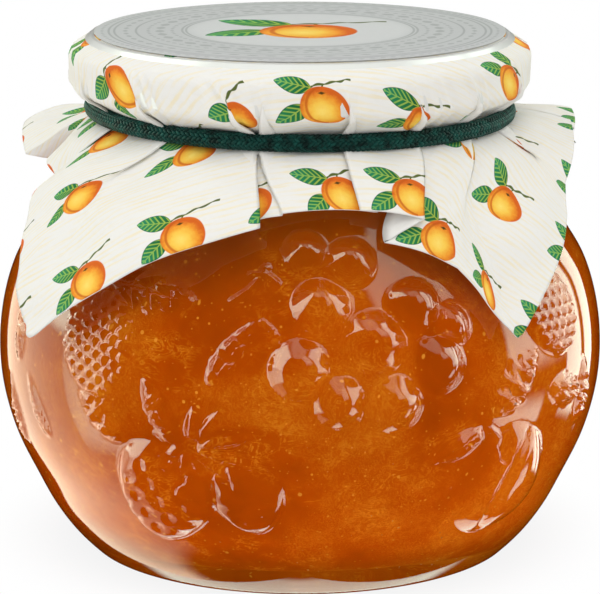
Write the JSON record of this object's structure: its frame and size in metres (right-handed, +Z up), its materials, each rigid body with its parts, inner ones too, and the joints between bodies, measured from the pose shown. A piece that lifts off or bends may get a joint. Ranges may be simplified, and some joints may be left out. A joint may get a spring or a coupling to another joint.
{
  "type": "jam jar with gathered paper cover",
  "caption": "Squat round glass jar of apricot jam with embossed fruit, its lid under a square fruit-print paper cover gathered by an elastic cord.",
  "frame": {"origin": "on the jar's axis, at the plane of the foot ring that it stands on", "axes": "+Z up along the jar's axis, -Y towards the front"},
  "size_m": [0.11, 0.1112, 0.0935],
  "materials": {
    "glass": "clear, glossy",
    "jam": "glossy, translucent apricot jam",
    "lid_metal": "white lacquer",
    "cover_paper": "cream, printed with apricots",
    "cord": "braided elastic, dark green",
    "label_paper": "pale grey, printed with an apricot"
  },
  "bodies": {
    "root": {"glass_jar": "glass", "jam": "jam", "lid": "lid_metal", "paper_cover": "cover_paper", "elastic_cord": "cord", "top_label": "label_paper"}
  },
  "joints": []
}
